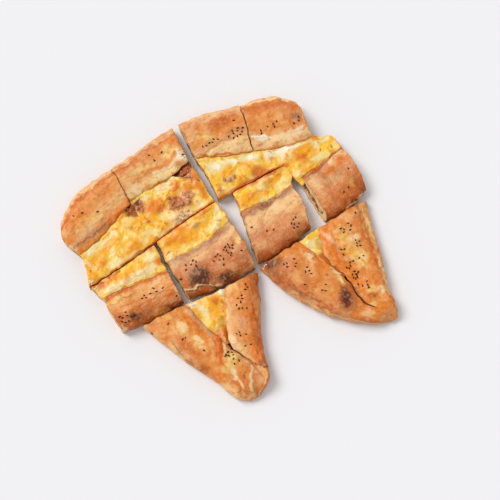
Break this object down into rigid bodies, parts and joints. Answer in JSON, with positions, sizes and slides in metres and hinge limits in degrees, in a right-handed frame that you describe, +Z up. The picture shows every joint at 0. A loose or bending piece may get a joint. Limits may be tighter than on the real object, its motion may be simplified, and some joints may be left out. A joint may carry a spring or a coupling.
{
  "type": "minced meat pide",
  "caption": "Boat-shaped minced meat pide cut up for serving: slices in rows and pointed ends, each with a folded crust over meat and baked cheese, sprinkled with black seeds.",
  "frame": {"origin": "middle of the whole plan at the underside, where the pide rests", "axes": "+X along the pide, from the slices of the row's left end to the right end, +Y towards the back crusts, away from the pointed ends, +Z up"},
  "size_m": [0.307, 0.296, 0.0209],
  "materials": {
    "dough": "baked dough, browned on top and pale where it was folded or cut, matt with a slight egg-wash sheen",
    "meat": "cooked minced meat, dark, coarse and a little greasy",
    "cheese": "baked cheese, yellow with cream patches and browned spots, slightly oily"
  },
  "bodies": {
    "root": {"dough_A1": "dough", "dough_A2": "dough", "dough_A3": "dough", "dough_A4": "dough", "dough_B1": "dough", "dough_B2": "dough", "dough_B3": "dough", "dough_B4": "dough", "dough_T1": "dough", "dough_T2": "dough", "meat_A1": "meat", "meat_A2": "meat", "meat_A3": "meat", "meat_A4": "meat", "meat_B1": "meat", "meat_B2": "meat", "meat_B3": "meat", "meat_B4": "meat", "meat_T1": "meat", "meat_T2": "meat", "cheese_A1": "cheese", "cheese_A2": "cheese", "cheese_A3": "cheese", "cheese_A4": "cheese", "cheese_B1": "cheese", "cheese_B2": "cheese", "cheese_B3": "cheese", "cheese_B4": "cheese", "cheese_T1": "cheese", "cheese_T2": "cheese"}
  },
  "joints": []
}
